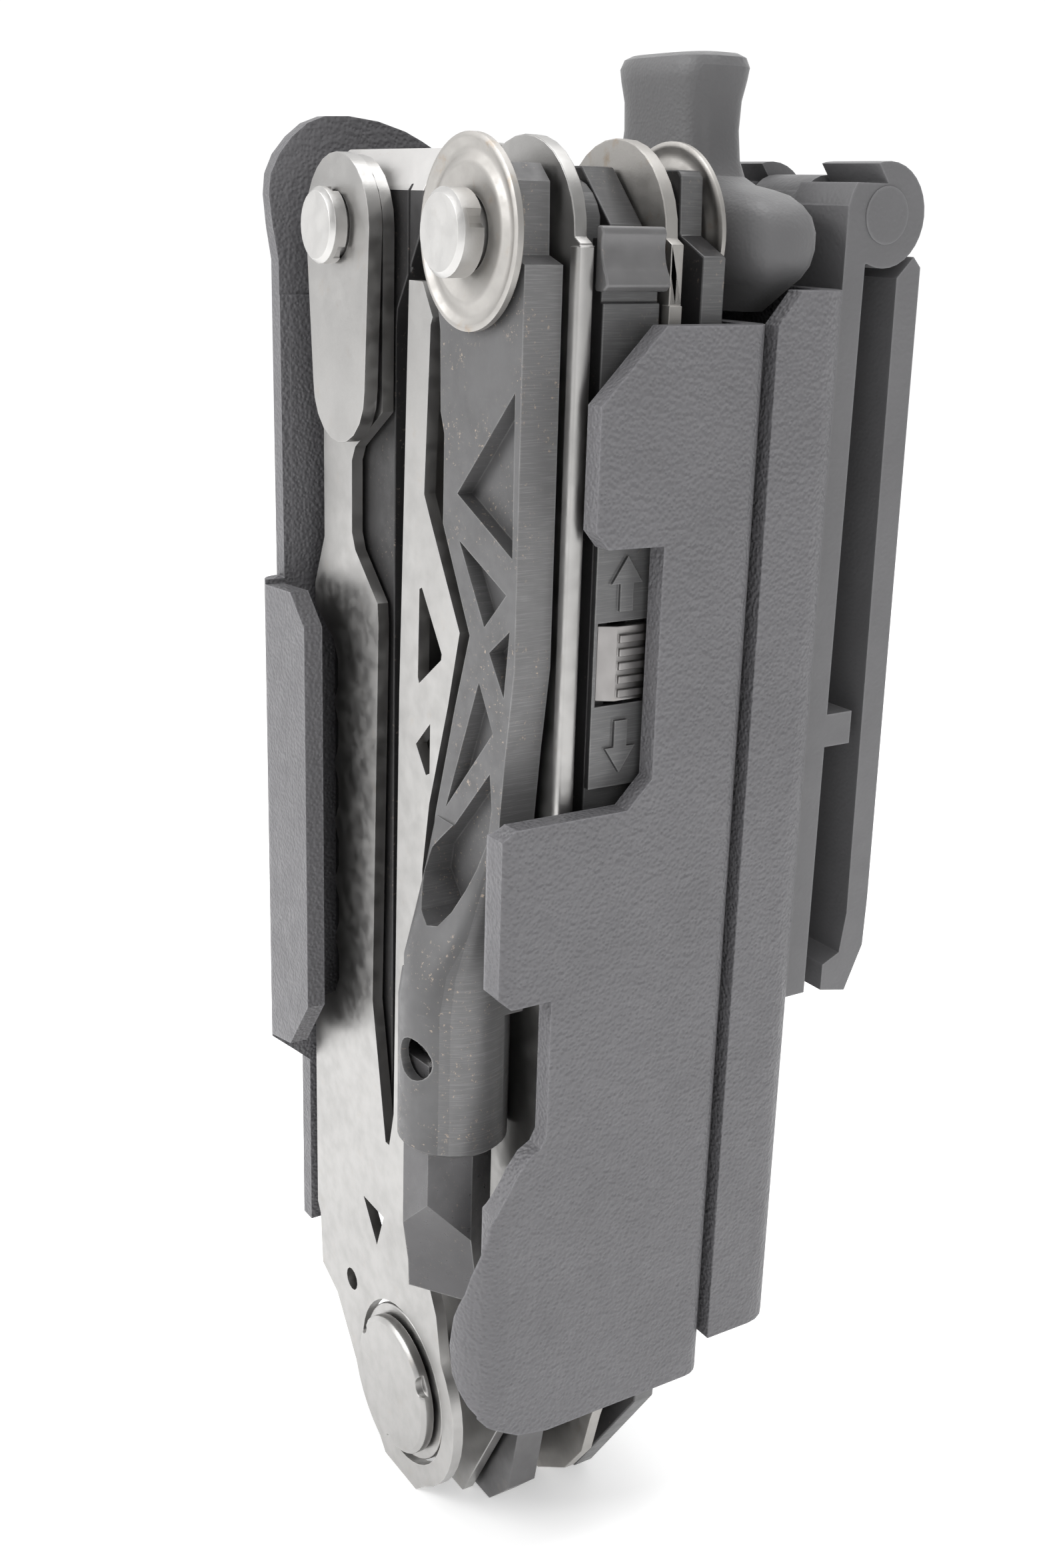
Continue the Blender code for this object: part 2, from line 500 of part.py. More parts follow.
def front_shell():
    """The sheath's front shell: one bent sheet whose sides and lips are cut to different outlines."""
    middle = SHEATH_HALF_WIDTH - SHEET / 2
    back = BACK_WALL_Y[1] - 0.75
    right_front, left_front = -14.5 + SHEET / 2, -13.6 + SHEET / 2
    path = [(14.0, right_front)] + bend((middle - 2.4, right_front + 2.4), 2.4, -90, 0)
    path += bend((middle - 1.2, back - 1.2), 1.2, 0, 90) + bend((1.2 - middle, back - 1.2), 1.2, 90, 180)
    path += bend((1.1 - middle, left_front + 1.1), 1.1, 180, 270) + [(-10.7, left_front)]
    section = prism(sheet_section(path, SHEET), "Z", SHEATH_BOTTOM, 121.3)
    shell = emit("sheath_front_shell", section, SHEATH)
    right_side = [
        (-16.0, 123.0), (-16.0, 34.4), (-14.7, 34.6), (-13.2, 37.4), (-11.9, 40.0), (-10.6, 42.3), (-9.6, 43.6),
        (-8.5, 44.2), (-8.0, 45.2), (-8.0, 56.8), (-11.6, 56.8),
        (-12.6, 57.8), (-12.6, 70.3), (-11.6, 71.2), (-1.7, 71.2), (0.45, 73.4), (0.45, 91.2), (-4.5, 91.3),
        (-5.6, 92.6), (-5.6, 101.4), (-0.3, 106.8), (12.0, 106.8), (12.0, 123.0),
    ]
    right_foot = [(-16.0, 15.0), (-6.0, 15.0), (-6.0, 17.1), (-9.8, 17.9), (-12.6, 19.5), (-14.6, 21.8), (-16.0, 23.0)]
    cut(shell, prism(right_side, "X", 2.0, 22.0), prism(right_foot, "X", 5.0, 22.0))
    right_lip = [
        (10.0, 46.0), (19.9, 46.0), (19.9, 37.5), (19.6, 35.6), (18.6, 31.8), (17.5, 29.2), (17.0, 26.2),
        (17.4, 23.8), (18.6, 22.0), (19.6, 20.6), (19.6, 16.0), (10.0, 16.0),
    ]
    cut(shell, prism(right_lip, "Y", -16.0, -12.4))
    left_side = [
        (11.0, 107.2), (9.5, 107.2), (8.2, 112.0), (6.6, 115.8), (4.1, 118.3), (1.8, 119.5), (0.2, 120.2),
        (-2.4, 120.9), (-5.2, 121.2), (-7.4, 121.1), (-9.0, 120.5), (-10.4, 119.4), (-11.6, 118.0), (-12.4, 116.4),
        (-12.6, 114.8), (-12.3, 112.4), (-11.8, 109.6), (-11.7, 82.6), (-16.0, 82.6),
        (-16.0, 123.0), (11.0, 123.0),
    ]
    cut(shell, block((-18.9, 19.0), (-18.0, 12.0), (106.8, 124.0)))
    left_foot = [(-16.0, 38.4), (-13.6, 38.4), (-9.7, 35.0), (-9.7, 15.0), (-16.0, 15.0)]
    cut(shell, prism(left_side, "X", -22.0, -17.0), prism(left_foot, "X", -22.0, -5.0))
    left_lip = [
        (-18.8, 124.0), (-18.8, 82.2), (-13.6, 82.5), (-10.9, 79.9), (-10.9, 44.6), (-14.7, 39.4), (-18.8, 38.6),
        (-18.8, 30.0), (-8.0, 30.0), (-8.0, 124.0),
    ]
    cut(shell, prism(left_lip, "Y", -15.0, -10.9))


def rear_shell():
    """The sheath's rear shell: a flat pocket behind the back wall, open at the top."""
    low, high = POCKET_Y
    middle = SHEATH_HALF_WIDTH - SHEET / 2
    back = high - SHEET / 2
    path = [(middle, low)] + bend((middle - 2.2, back - 2.2), 2.2, 0, 90)
    path += bend((2.2 - middle, back - 2.2), 2.2, 90, 180) + [(-middle, low)]
    shell = emit("sheath_rear_shell", prism(sheet_section(path, SHEET), "Z", POCKET_BOTTOM, POCKET_TOP), SHEATH)
    cut(shell, prism([(9.0, 106.6), (9.8, 106.7), (11.8, 109.0), (11.8, 111.0), (9.0, 111.0)], "X", -22.0, 22.0))
    flange = block((-19.2, 19.2), (low, low + 1.6), (POCKET_BOTTOM, 32.0))
    fuse(shell, flange, block((-19.2, 19.2), (low + 0.8, back), (POCKET_BOTTOM, POCKET_BOTTOM + 1.6)))
    for x in (-12.0, 12.0):
        cut(shell, disc((x, 26.0), 1.6, low - 2, low + 3, sides=16))
        profile = [(7.55, 1.3), (11.65, 1.3), (11.65, 2.4), (12.3, 2.0)]
        emit(f"sheath_rivet_{'left' if x < 0 else 'right'}", turned((x, 26.0), profile, sides=16), BLACK_OXIDE)


def rivet_holes():
    """The same rivets pass through the front shell's back wall."""
    shell = bpy.data.objects["sheath_front_shell"]
    for x in (-12.0, 12.0):
        cut(shell, disc((x, 26.0), 1.6, BACK_WALL_Y[0] - 1, BACK_WALL_Y[1] + 1, sides=16))


HANDLE_X = 3.4


def fire_steel():
    """A rod in the rear pocket with a wide soft handle and a flared grip on top."""
    origin = (HANDLE_X, 12.6, 108.0)
    sizes = [
        (107.3, 10.6, 2.2), (109.3, 13.6, 2.6), (109.9, 14.1, 3.5), (110.8, 14.6, 4.2), (112.0, 14.8, 4.6),
        (113.2, 14.7, 4.7), (114.3, 14.2, 4.55), (115.1, 13.3, 4.2), (115.8, 11.9, 3.8), (116.2, 10.0, 3.45),
        (116.5, 8.0, 3.15), (117.1, 6.5, 3.0), (118.3, 5.8, 2.9), (120.5, 5.4, 2.9), (122.6, 5.5, 2.95),
        (124.1, 5.9, 3.15), (125.0, 6.1, 3.2), (125.7, 5.8, 2.95), (126.0, 5.2, 2.4),
    ]
    levels = [(z, HANDLE_X, 12.7, half_x, half_y, 0.62) for z, half_x, half_y in sizes]
    body = emit("fire_steel_handle", loft(levels), RUBBER, origin, smooth=True)
    cut(body, disc((HANDLE_X, 12.6), 3.1, 100.0, 114.6, axis="Z", sides=24))
    rod = [(48.0, 2.3), (48.6, 2.8), (114.3, 2.8)]
    emit("fire_steel_rod", turned((HANDLE_X, 12.6), rod, axis="Z", sides=24), GREY_STEEL, origin, smooth=True)


CLIP_SCREWS = ((-10.0, 98.0), (10.0, 98.0), (-10.0, 58.0), (10.0, 58.0))


def belt_clip():
    """The hinged belt clip: a base on the pocket, a gate on a pin across the top, and a latch at the foot."""
    half = CLIP_HALF_WIDTH
    base = emit("clip_base", block((-half, half), (17.8, 19.9), (50.4, 112.0)), CLIP_PLASTIC)
    web = [(17.8, 111.0), (19.9, 111.0), (21.6, 111.4), (20.8, 116.9), (18.9, 116.9), (17.8, 115.2)]
    fuse(base, prism(web, "X", -half, half))
    for x in ((-half, -11.5), (-4.2, 4.2), (11.5, half)):
        fuse(base, turned(CLIP_PIN, [(x[0], CLIP_BARREL_R), (x[1], CLIP_BARREL_R)], axis="X", sides=32))
    cut(base, turned(CLIP_PIN, [(-20.0, 1.5), (20.0, 1.5)], axis="X", sides=20))
    for x in ((-11.3, -4.4), (4.4, 11.3)):
        cut(base, block(x, (18.5, 27.0), (110.4, 120.0)))
    curl = [(16.0, 120.0), (20.3, 120.0), (20.3, 118.6), (21.6, 116.9), (16.0, 116.9)]
    cut(base, prism(curl, "X", -20.0, 20.0))
    fuse(base, block((-half, half), (19.5, 22.6), (72.6, 75.4)))
    for x, z in CLIP_SCREWS:
        cut(base, disc((x, z), 1.7, 17.0, 20.5, sides=16))
    emit("clip_pin", turned(CLIP_PIN, [(-17.7, 1.2), (17.7, 1.2)], axis="X", sides=20), GREY_STEEL, (0, *CLIP_PIN), smooth=True)
    gate_profile = [
        (23.3, 110.0), (23.8, 80.0), (24.1, 57.0), (23.6, 53.4), (21.8, 52.6), (21.8, 50.2), (24.6, 49.6),
        (26.3, 53.6), (26.4, 58.0), (26.0, 80.0), (25.7, 110.8),
        (24.9, 111.6), (24.3, 111.0),
    ]
    gate = emit("clip_gate", prism(gate_profile, "X", -half, half), CLIP_PLASTIC, (0, *CLIP_PIN))
    arm = [(23.4, 109.0), (25.3, 109.0), (25.0, 115.5), (22.4, 113.0)]
    for x in ((-11.0, -4.7), (4.7, 11.0)):
        fuse(gate, prism(arm, "X", *x), turned(CLIP_PIN, [(x[0], 2.9), (x[1], 2.9)], axis="X", sides=24))
    cut(gate, turned(CLIP_PIN, [(-20.0, 1.5), (20.0, 1.5)], axis="X", sides=20))
    latch = [(18.4, 46.8), (21.6, 46.8), (22.6, 48.4), (22.6, 49.2), (20.4, 49.6), (20.4, 50.1), (18.4, 50.1)]
    emit("clip_latch", prism(latch, "X", -8.0, 8.0), CLIP_PLASTIC, (0, 19.0, 48.5))
    shell = bpy.data.objects["sheath_rear_shell"]
    for i, (x, z) in enumerate(CLIP_SCREWS):
        cut(shell, disc((x, z), 1.7, 15.0, 18.5, sides=16))
        profile = [(14.9, 2.0), (15.4, 2.4), (15.5, 1.4), (20.2, 1.4), (20.2, 2.6), (20.9, 2.2)]
        emit(f"clip_rivet_{i + 1}", turned((x, z), profile, sides=16), GREY_STEEL)


def build():
    clear_scene()
    main_pivot()
    jaw(1)
    jaw(-1)
    left_handle()
    right_handle()
    lock()
    driver()
    outer_tools()
    front_shell()
    rear_shell()
    rivet_holes()
    fire_steel()
    belt_clip()


build()
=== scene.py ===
"""The looks of the multi tool and its belt sheath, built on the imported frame."""
import math

import bmesh
import bpy
from mathutils import Matrix, Vector


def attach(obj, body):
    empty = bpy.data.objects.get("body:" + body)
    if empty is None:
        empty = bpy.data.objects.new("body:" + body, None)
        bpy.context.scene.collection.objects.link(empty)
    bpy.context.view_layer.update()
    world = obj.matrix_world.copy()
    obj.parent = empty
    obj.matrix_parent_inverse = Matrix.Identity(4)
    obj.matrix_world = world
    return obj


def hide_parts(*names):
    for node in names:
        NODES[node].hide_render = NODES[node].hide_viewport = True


MM = 0.001

# The part, in millimetres.
Y0 = -5.65  # the frame's Y for the middle of the tool
PIN_X, PIN_Z = 9.85, 112.6  # the pin at the top of the right handle
WASHER_R = (2.7, 6.8)
CLIP_PIN_Y, CLIP_PIN_Z = 21.7, 114.6
CLIP_PIN_HEAD_R = 2.15

# The camera: azimuth, downward pitch and roll in degrees, and its place and lens in millimetres.
CAMERA_TURN = (57.26, 18.06, 1.70)
CAMERA_PLACE = Vector((123.59, -77.58 + Y0, 114.77))
CAMERA_LENS = 40.95

# The room, in metres.
AWAY_FROM_CAMERA = (-0.84, 0.54, 0.0)
LIT_POINT = Vector((0.0, 0.0, 0.06))

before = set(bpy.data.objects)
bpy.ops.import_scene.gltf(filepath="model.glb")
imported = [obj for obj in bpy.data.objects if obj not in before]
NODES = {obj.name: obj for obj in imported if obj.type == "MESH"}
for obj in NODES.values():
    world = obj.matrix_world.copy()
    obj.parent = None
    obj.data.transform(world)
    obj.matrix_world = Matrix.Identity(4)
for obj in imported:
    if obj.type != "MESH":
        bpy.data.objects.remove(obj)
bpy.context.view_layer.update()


# Materials.

TAN_GRIME = (0.36, 0.29, 0.22)
TAN_DUST = (0.42, 0.34, 0.27)
WORN_STEEL = (0.42, 0.415, 0.41)


def shade(colour, factor):
    """A colour made darker or lighter by a factor."""
    return tuple(min(1.0, c * factor) for c in colour)


class Shader:
    """A material's node tree, with short ways to add the nodes used again and again."""

    def __init__(self, name, colour, rough, metal=0.0):
        self.material = bpy.data.materials.new(name)
        self.material.use_nodes = True
        self.tree = self.material.node_tree
        self.bsdf = self.tree.nodes["Principled BSDF"]
        self.set("Base Color", (*colour, 1.0))
        self.set("Roughness", rough)
        self.set("Metallic", metal)
        self.colour = colour
        self.colour_out = None
        self.height_out = None
        self.place = self.add("ShaderNodeTexCoord").outputs["Object"]

    def set(self, socket, value):
        self.bsdf.inputs[socket].default_value = value

    def add(self, kind, **values):
        node = self.tree.nodes.new(kind)
        for key, value in values.items():
            setattr(node, key, value)
        return node

    def link(self, a, b):
        self.tree.links.new(a, b)

    def scaled(self, scale):
        """Object coordinates in millimetres, stretched by a scale per axis."""
        mapping = self.add("ShaderNodeMapping")
        mapping.inputs["Scale"].default_value = [1000 * s for s in scale]
        self.link(self.place, mapping.inputs["Vector"])
        return mapping.outputs["Vector"]

    def noise(self, size, detail=3.0, rough=0.55, stretch=(1, 1, 1)):
        """Noise whose features are about size millimetres across."""
        node = self.add("ShaderNodeTexNoise")
        self.link(self.scaled([1 / (size * s) for s in stretch]), node.inputs["Vector"])
        node.inputs["Scale"].default_value = 1.0
        node.inputs["Detail"].default_value = detail
        node.inputs["Roughness"].default_value = rough
        return node.outputs["Fac"]

    def cells(self, size):
        """Soft cells about size millimetres across."""
        node = self.add("ShaderNodeTexVoronoi", feature="SMOOTH_F1")
        self.link(self.scaled([1 / size] * 3), node.inputs["Vector"])
        node.inputs["Scale"].default_value = 1.0
        return node.outputs["Distance"]

    def ramp(self, value, low, high, start=0.0, end=1.0):
        """Start where the value is at low, end where it is at high, and a smooth change between."""
        node = self.add("ShaderNodeMapRange", interpolation_type="SMOOTHSTEP")
        self.link(value, node.inputs["Value"])
        node.inputs["From Min"].default_value = low
        node.inputs["From Max"].default_value = high
        node.inputs["To Min"].default_value = start
        node.inputs["To Max"].default_value = end
        return node.outputs["Result"]

    def math(self, operation, a, b):
        node = self.add("ShaderNodeMath", operation=operation)
        for socket, value in zip(node.inputs, (a, b)):
            if isinstance(value, (int, float)):
                socket.default_value = value
            else:
                self.link(value, socket)
        return node.outputs["Value"]

    def mix(self, mask, colour):
        """Lays a colour over what is there, where the mask is 1."""
        node = self.add("ShaderNodeMix", data_type="RGBA")
        self.link(mask, node.inputs["Factor"])
        below, above, result = node.inputs[6], node.inputs[7], node.outputs[2]
        if self.colour_out is None:
            below.default_value = (*self.colour, 1.0)
        else:
            self.link(self.colour_out, below)
        above.default_value = (*colour, 1.0)
        self.colour_out = result
        self.link(self.colour_out, self.bsdf.inputs["Base Color"])

    def edges(self, radius):
        """1 on convex and concave edges, within radius millimetres."""
        bevel = self.add("ShaderNodeBevel", samples=4)
        bevel.inputs["Radius"].default_value = radius * MM
        flat = self.add("ShaderNodeNewGeometry").outputs["Normal"]
        dot = self.add("ShaderNodeVectorMath", operation="DOT_PRODUCT")
        self.link(bevel.outputs["Normal"], dot.inputs[0])
        self.link(flat, dot.inputs[1])
        return self.ramp(self.math("SUBTRACT", 1.0, dot.outputs["Value"]), 0.02, 0.25)

    def facing(self, axis, low, high):
        """1 on faces that point along an axis, such as 0 for +X or 2 for up."""
        split = self.add("ShaderNodeSeparateXYZ")
        self.link(self.add("ShaderNodeNewGeometry").outputs["True Normal"], split.inputs[0])
        return self.ramp(split.outputs[axis], low, high)

    def rough(self, value, low, high):
        """Lets the roughness wander between low and high."""
        self.link(self.ramp(value, 0.25, 0.75, low, high), self.bsdf.inputs["Roughness"])

    def bump(self, value, height, strength=1.0):
        """Adds relief of a height in millimetres."""
        node = self.add("ShaderNodeBump")
        node.inputs["Strength"].default_value = strength
        node.inputs["Distance"].default_value = height * MM
        self.link(value, node.inputs["Height"])
        if self.height_out is not None:
            self.link(self.height_out, node.inputs["Normal"])
        self.height_out = node.outputs["Normal"]
        self.link(self.height_out, self.bsdf.inputs["Normal"])


def steel(name, colour, rough, dirt=0.25):
    """Bead-blasted or brushed bare steel with handling marks, a little tan grime and painted highlights on
    its edges.
    """
    s = Shader(name, colour, rough, 1.0)
    s.mix(s.ramp(s.noise(6.0, 4.0), 0.35, 0.75, 0.0, 0.8), shade(colour, 0.86))
    s.mix(s.ramp(s.noise(2.2, 5.0, 0.65), 0.58, 0.78, 0.0, dirt), TAN_GRIME)
    # Painted highlight: the edges a little lighter than the faces.
    s.mix(s.ramp(s.edges(0.3), 0.1, 0.9, 0.0, 0.45), shade(colour, 1.2))
    s.rough(s.noise(1.5, 4.0), rough - 0.06, rough + 0.1)
    s.bump(s.noise(0.16, 2.0, 0.5), 0.012, 0.5)
    s.bump(s.noise(3.5, 3.0), 0.03, 0.25)
    return s.material


def oxide(name, colour, rough, wear=0.5, dust=0.35, side=None, top=None):
    """Black oxide steel: worn light edges, faint scratches and dust; where given, a side facing +X painted
    lighter as painted light with brushing lines over it, and a ground top.
    """
    s = Shader(name, colour, rough, 0.35)
    s.mix(s.ramp(s.noise(5.0, 4.0), 0.35, 0.75, 0.0, 0.7), shade(colour, 0.72))
    scuff = s.ramp(s.noise(0.5, 4.0, 0.7, (7, 7, 1)), 0.66, 0.8, 0.0, 0.35)
    s.mix(scuff, shade(colour, 1.9))
    # Painted light: faces turned to +X get the lighter side colour for the reflection that falls there;
    # the fine lines over it are real brushing.
    if side:
        s.mix(s.facing(0, 0.6, 0.9), side)
        lines = s.ramp(s.noise(0.09, 2.0, 0.6, (30, 30, 1)), 0.45, 0.75, 0.0, 0.5)
        s.mix(s.math("MULTIPLY", lines, s.facing(0, 0.6, 0.9)), shade(side, 1.7))
    if top:
        s.mix(s.facing(2, 0.2, 0.42), top)
    specks = s.ramp(s.noise(0.35, 3.0, 0.7), 0.6, 0.72)
    grime = s.math("MULTIPLY", specks, s.ramp(s.noise(5.0, 2.0), 0.42, 0.6))
    s.mix(s.math("MULTIPLY", grime, dust), TAN_DUST)
    worn = s.math("MULTIPLY", s.edges(0.22), s.ramp(s.noise(1.6, 4.0), 0.3, 0.7, 0.35, 1.0))
    s.mix(s.math("MULTIPLY", worn, wear), WORN_STEEL)
    s.rough(s.noise(1.2, 4.0), rough - 0.07, rough + 0.1)
    s.bump(s.noise(0.12, 2.0), 0.01, 0.5)
    return s.material


def moulded(name, colour, rough, grain, height, sheen=0.0):
    """Plastic or soft rubber with a grain of a size and height in millimetres."""
    s = Shader(name, colour, rough, 0.0)
    s.mix(s.ramp(s.noise(9.0, 3.0), 0.35, 0.7, 0.0, 0.5), shade(colour, 0.84))
    s.mix(s.ramp(s.noise(0.35, 3.0, 0.7), 0.7, 0.8, 0.0, 0.35), shade(colour, 2.4))
    # Painted highlight: the edges much lighter than the faces.
    s.mix(s.ramp(s.edges(0.35), 0.1, 0.9, 0.0, 0.35), shade(colour, 2.2))
    s.rough(s.noise(2.0, 4.0), rough - 0.05, rough + 0.08)
    s.bump(s.noise(grain * 3, 2.0), height * 1.6, 0.7)
    s.bump(s.cells(grain), height * 2.0, 1.0)
    s.set("Sheen Weight", sheen)
    return s.material


LOOKS = {
    "satin": steel("satin_steel", (0.42, 0.413, 0.404), 0.36),
    "washer": steel("dusty_steel", (0.42, 0.406, 0.388), 0.5, 0.9),
    "pin": steel("pin_steel", (0.60, 0.592, 0.58), 0.4, 0.1),
    "bright": steel("bright_steel", (0.70, 0.69, 0.675), 0.26, 0.12),
    "grey": steel("grey_steel", (0.16, 0.158, 0.16), 0.38, 0.2),
    "button": steel("button_steel", (0.30, 0.29, 0.285), 0.34, 0.35),
    "black": oxide("black_oxide", (0.045, 0.044, 0.046), 0.38, side=(0.12, 0.12, 0.121)),
    "slider": oxide("slider_black", (0.05, 0.049, 0.051), 0.36, 1.0, 0.4, side=(0.13, 0.13, 0.131)),
    "slim": oxide("blade_black", (0.035, 0.034, 0.035), 0.42, top=(0.56, 0.55, 0.54)),
    "saddle": oxide("saddle_black", (0.17, 0.168, 0.17), 0.36, 0.8, 0.5),
    "dusty": oxide("dusty_black_oxide", (0.115, 0.114, 0.116), 0.44, 0.6, 0.9, side=(0.155, 0.154, 0.155)),
    "bit": oxide("bit_black", (0.095, 0.093, 0.096), 0.32, 0.7, 0.25),
    "sheath": moulded("sheath_grain", (0.130, 0.128, 0.135), 0.46, 0.3, 0.075),
    "clip": moulded("clip_plastic", (0.130, 0.129, 0.133), 0.46, 0.3, 0.012),
    "rubber": moulded("soft_rubber", (0.115, 0.114, 0.117), 0.5, 0.25, 0.012, 0.2),
}

FINISH = {
    "satin": "pivot_bolt pivot_washer front_frame pin_strap left_rear_plate left_rear_washer "
             "right_front_plate bottle_opener small_driver",
    "pin": "left_pin right_pin",
    "washer": "front_washer rear_washer spacer_washer right_rear_plate",
    "bright": "cutter_left cutter_right bit_magnet",
    "grey": "jaw_left jaw_right file clip_pin fire_steel_rod clip_rivet_1 clip_rivet_2 "
            "clip_rivet_3 clip_rivet_4",
    "button": "lock_button",
    "slider": "lock_slider",
    "black": "pivot_nut awl pry_tool flat_driver lock_bar knife_blade sheath_rivet_left "
             "sheath_rivet_right",
    "slim": "serrated_blade",
    "saddle": "lock_saddle",
    "dusty": "driver_arm",
    "bit": "driver_bit",
    "sheath": "sheath_front_shell sheath_rear_shell",
    "clip": "clip_base clip_gate clip_latch",
    "rubber": "fire_steel_handle",
}

EDGE_WIDTH = 0.18
WIDER_EDGES = {
    "sheath_front_shell": 0.45,
    "sheath_rear_shell": 0.45,
    "driver_arm": 0.28,
    "clip_gate": 0.4,
    "clip_base": 0.35,
}


def smooth_group():
    """Geometry nodes that shade a mesh smooth and keep edges over 35 degrees sharp."""
    group = bpy.data.node_groups.new("smooth_by_angle", "GeometryNodeTree")
    group.interface.new_socket("Geometry", in_out="INPUT", socket_type="NodeSocketGeometry")
    group.interface.new_socket("Geometry", in_out="OUTPUT", socket_type="NodeSocketGeometry")
    nodes, link = group.nodes, group.links.new
    start, end = nodes.new("NodeGroupInput"), nodes.new("NodeGroupOutput")
    faces, edges = nodes.new("GeometryNodeSetShadeSmooth"), nodes.new("GeometryNodeSetShadeSmooth")
    edges.domain = "EDGE"
    angle = nodes.new("GeometryNodeInputMeshEdgeAngle")
    below = nodes.new("FunctionNodeCompare")
    below.operation = "LESS_THAN"
    below.inputs["B"].default_value = math.radians(35)
    link(angle.outputs["Unsigned Angle"], below.inputs["A"])
    link(start.outputs["Geometry"], faces.inputs["Geometry"])
    link(faces.outputs["Geometry"], edges.inputs["Geometry"])
    link(below.outputs["Result"], edges.inputs["Shade Smooth"])
    link(edges.outputs["Geometry"], end.inputs["Geometry"])
    return group


SMOOTH = smooth_group()


def dress(node, look, width):
    """Gives a CAD node its material and rounds its edges to a width in millimetres."""
    thing = NODES[node]
    thing.data.materials.clear()
    thing.data.materials.append(LOOKS[look])
    weld = thing.modifiers.new("weld", "WELD")
    weld.merge_threshold = 0.002 * MM
    if node != "fire_steel_handle":  # a lofted form, whose shallow facets have to stay
        flat = thing.modifiers.new("flat", "DECIMATE")
        flat.decimate_type = "DISSOLVE"
        flat.angle_limit = math.radians(1.0)
    bevel = thing.modifiers.new("edge", "BEVEL")
    bevel.width = width * MM
    bevel.segments = 3
    bevel.limit_method = "ANGLE"
    bevel.angle_limit = math.radians(32)
    thing.modifiers.new("smooth", "NODES").node_group = SMOOTH
    normals = thing.modifiers.new("normals", "WEIGHTED_NORMAL")
    normals.keep_sharp = True
    normals.weight = 60


for look_name, names in FINISH.items():
    for node_name in names.split():
        dress(node_name, look_name, WIDER_EDGES.get(node_name, EDGE_WIDTH))


# Pieces with more detail than the solids they stand for.

def place_mesh(name, bm, material):
    """Turns a bmesh into an object of one material."""
    mesh = bpy.data.meshes.new(name)
    bm.to_mesh(mesh)
    bm.free()
    mesh.materials.append(material)
    thing = bpy.data.objects.new(name, mesh)
    bpy.context.collection.objects.link(thing)
    return thing


def shade_round(thing):
    """Smooth shading that keeps edges over 40 degrees sharp."""
    thing.data.shade_smooth()
    thing.data.set_sharp_from_angle(angle=math.radians(40))


def pin_head(name, x, body):
    """A thin round head over one end of the clip's pin, whose axis runs along X."""
    low, high = x
    radius = CLIP_PIN_HEAD_R * MM
    middle = Vector(((low + high) / 2, CLIP_PIN_Y + Y0, CLIP_PIN_Z)) * MM
    turn = Matrix.Translation(middle) @ Matrix.Rotation(math.radians(90), 4, "Y")
    bm = bmesh.new()
    size = {"radius1": radius, "radius2": radius, "depth": (high - low) * MM}
    bmesh.ops.create_cone(bm, cap_ends=True, segments=48, matrix=turn, **size)
    thing = place_mesh(name, bm, LOOKS["clip"])
    shade_round(thing)
    edge = thing.modifiers.new("edge", "BEVEL")
    edge.width = 0.05 * MM
    edge.segments = 2
    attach(thing, body)


def lathe(profile, sides=72):
    """A closed turned form round the right pin: the profile lists (Y, radius) in millimetres."""
    bm = bmesh.new()
    rings = []
    for along, radius in profile:
        ring = []
        for i in range(sides):
            a = 2 * math.pi * i / sides
            point = (PIN_X + radius * math.cos(a), along + Y0, PIN_Z + radius * math.sin(a))
            ring.append(bm.verts.new(Vector(point) * MM))
        rings.append(ring)
    for first, second in zip(rings, rings[1:] + rings[:1]):
        for i in range(sides):
            j = (i + 1) % sides
            bm.faces.new((first[i], first[j], second[j], second[i]))
    bmesh.ops.recalc_face_normals(bm, faces=bm.faces)
    return bm


def stamped_washer(name, y, node, body):
    """A thin steel washer with a rolled rim and a raised ring pressed into its face."""
    front, back = y
    inner, outer = WASHER_R
    rise = (back - front) * 0.35
    bore = [(front + rise, inner), (front + rise * 0.7, inner + 0.25)]
    step = [(front + rise * 0.7, outer - 2.5)]
    raised = [(front + rise * 0.1, outer - 2.2), (front + rise * 0.1, outer - 1.75)]
    groove = [(front + rise * 1.2, outer - 1.4), (front + rise * 1.2, outer - 0.75)]
    rim = [(front + rise * 0.2, outer - 0.45), (front, outer - 0.25), (front + rise * 0.5, outer)]
    rear = [(back - 0.12, outer), (back, outer - 0.12), (back, inner + 0.1), (back - 0.1, inner)]
    thing = place_mesh(name, lathe(bore + step + raised + groove + rim + rear), LOOKS["washer"])
    shade_round(thing)
    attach(thing, body)
    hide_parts(node)


stamped_washer("front_washer_stamped", (-10.6, -9.9), "front_washer", "right_handle")
stamped_washer("rear_washer_stamped", (6.95, 7.5), "rear_washer", "right_handle")

for side_name, ends in (("right", (17.95, 18.1)), ("left", (-18.1, -17.95))):
    pin_head(f"clip_pin_head_{side_name}", ends, "sheath")


# Floor, light and camera.

def add_floor():
    """A pale floor 6 m across, a hair below the part."""
    bm = bmesh.new()
    bmesh.ops.create_grid(bm, x_segments=1, y_segments=1, size=3.0)
    s = Shader("pale_floor", (0.94, 0.94, 0.94), 0.7)
    s.mix(s.ramp(s.noise(60.0, 2.0), 0.3, 0.7, 0.0, 0.3), (0.92, 0.92, 0.92))
    s.set("Emission Color", (1.0, 1.0, 1.0, 1.0))
    s.set("Emission Strength", 0.38)
    floor = place_mesh("floor", bm, s.material)
    floor.location.z = -0.05 * MM


def add_light(name, place, size, power):
    """A soft rectangular light that shines at the middle of the tool."""
    data = bpy.data.lights.new(name, "AREA")
    data.shape = "RECTANGLE"
    data.size, data.size_y = size
    data.energy = power
    light = bpy.data.objects.new(name, data)
    light.location = place
    light.rotation_euler = (LIT_POINT - light.location).to_track_quat("-Z", "Y").to_euler()
    bpy.context.collection.objects.link(light)


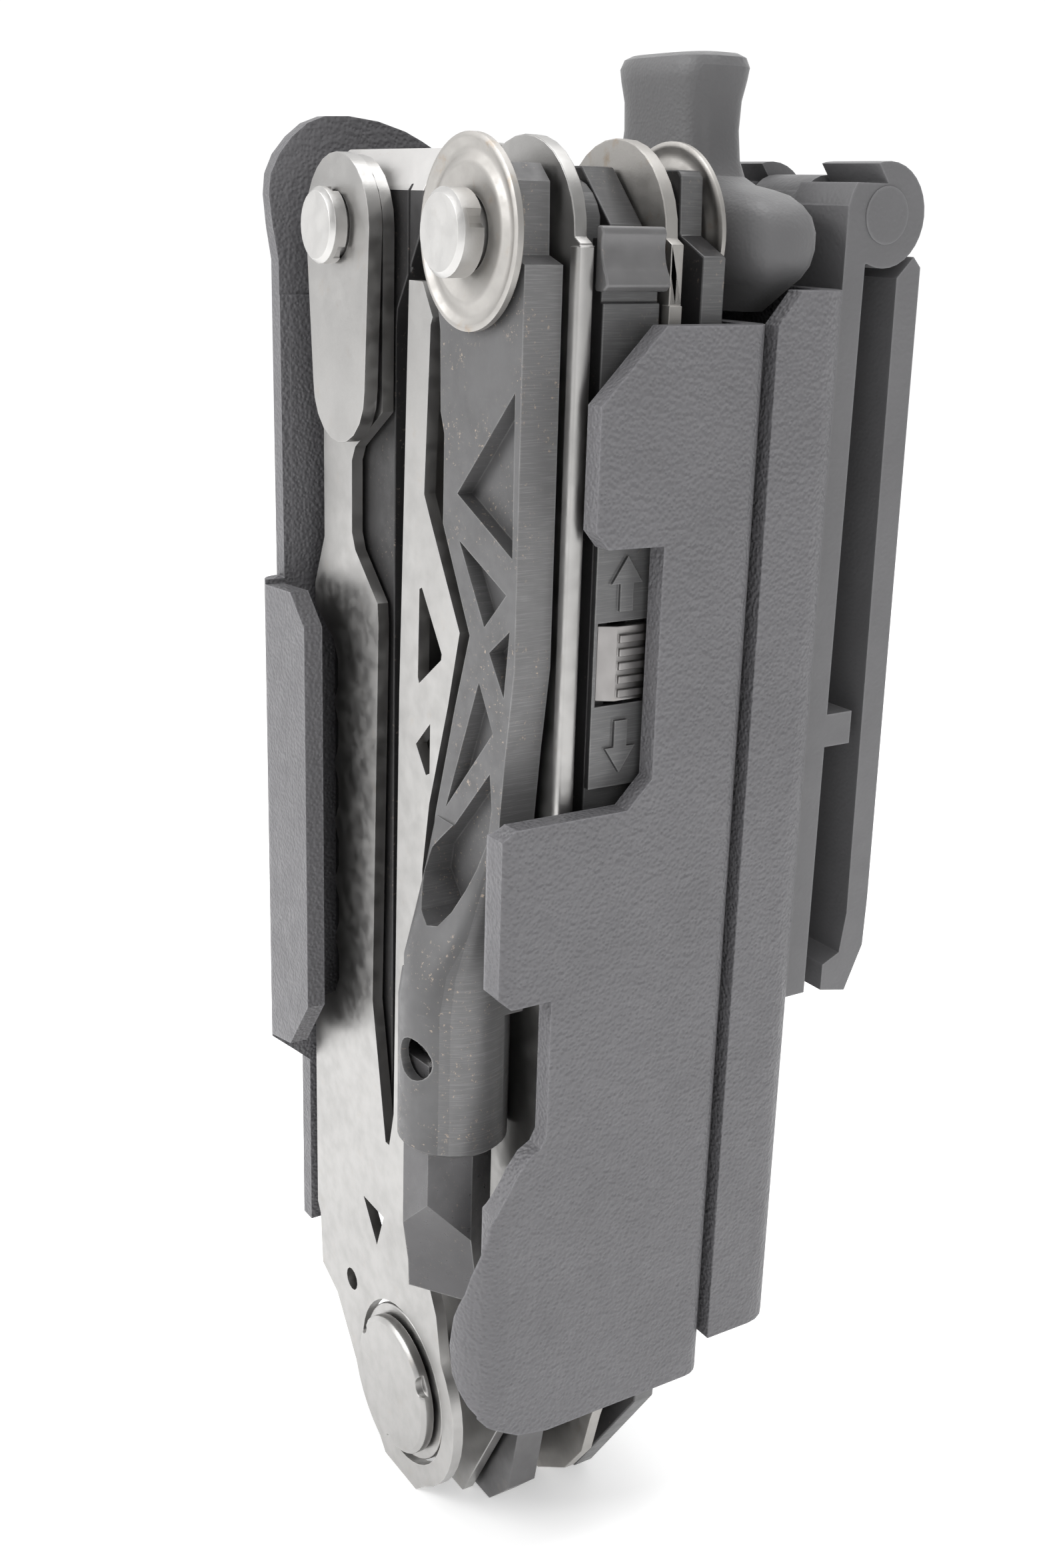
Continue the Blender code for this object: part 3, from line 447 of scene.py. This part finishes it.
def add_world(front, back):
    """A dim room in front of the object and a white backdrop behind it."""
    world = bpy.data.worlds.new("studio")
    world.use_nodes = True
    nodes, link = world.node_tree.nodes, world.node_tree.links.new
    direction = nodes.new("ShaderNodeTexCoord").outputs["Generated"]
    toward = nodes.new("ShaderNodeVectorMath")
    toward.operation = "DOT_PRODUCT"
    toward.inputs[1].default_value = AWAY_FROM_CAMERA
    strength = nodes.new("ShaderNodeMapRange")
    strength.interpolation_type = "SMOOTHSTEP"
    for socket, value in zip(("From Min", "From Max", "To Min", "To Max"), (-0.1, 0.75, front, back)):
        strength.inputs[socket].default_value = value
    background = nodes["Background"]
    background.inputs["Color"].default_value = (1.0, 1.0, 1.0, 1.0)
    link(direction, toward.inputs[0])
    link(toward.outputs["Value"], strength.inputs["Value"])
    link(strength.outputs["Result"], background.inputs["Strength"])
    bpy.context.scene.world = world


def add_camera():
    """The camera at the photograph's place and angle."""
    azimuth, pitch, roll = (math.radians(a) for a in CAMERA_TURN)
    right = Vector((math.cos(azimuth), math.sin(azimuth), 0.0))
    ahead = Vector((-math.sin(azimuth), math.cos(azimuth), 0.0))
    look = math.cos(pitch) * ahead + Vector((0.0, 0.0, -math.sin(pitch)))
    up = right.cross(look)
    tilted_right = math.cos(roll) * right + math.sin(roll) * up
    tilted_up = -math.sin(roll) * right + math.cos(roll) * up
    data = bpy.data.cameras.new("camera")
    data.lens = CAMERA_LENS
    data.sensor_width = 36.0
    data.clip_start = 0.01
    camera = bpy.data.objects.new("camera", data)
    turn = Matrix((tilted_right, tilted_up, -look)).transposed().to_4x4()
    camera.matrix_world = Matrix.Translation(CAMERA_PLACE * MM) @ turn
    bpy.context.collection.objects.link(camera)
    bpy.context.scene.camera = camera


add_floor()
add_world(0.45, 1.06)
add_light("key", (-0.30, -0.70, 0.45), (0.45, 0.45), 4.3)
add_light("right", (0.60, -0.15, 0.35), (0.3, 0.5), 0.8)
add_light("top", (0.0, 0.1, 0.7), (0.5, 0.5), 2.6)
add_camera()
bpy.context.scene.view_settings.view_transform = "Standard"
